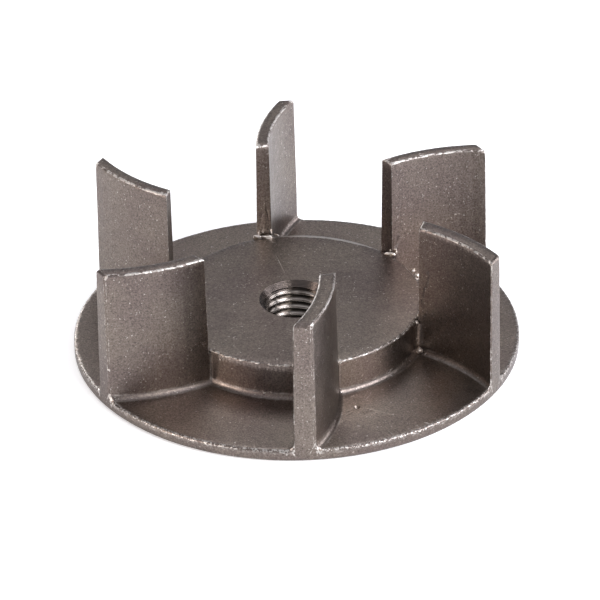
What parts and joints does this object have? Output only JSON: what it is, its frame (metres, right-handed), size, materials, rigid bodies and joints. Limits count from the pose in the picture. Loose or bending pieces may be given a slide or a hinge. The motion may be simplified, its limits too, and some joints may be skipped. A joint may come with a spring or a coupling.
{
  "type": "pump impeller",
  "caption": "Open pump impeller cast in one piece: curved upright blades round a raised hub on a flat round back plate, with a countersunk threaded hole for the shaft.",
  "frame": {"origin": "on the shaft axis, in the plane of the back plate's back face", "axes": "+Z along the shaft axis, out of the blade side; -Y towards the outer end of the first blade; right-handed"},
  "size_m": [0.068, 0.068, 0.0236],
  "materials": {
    "cast_steel": "satin, as cast, fine grain with bright worn edges"
  },
  "bodies": {
    "root": {"impeller": "cast_steel"}
  },
  "joints": []
}
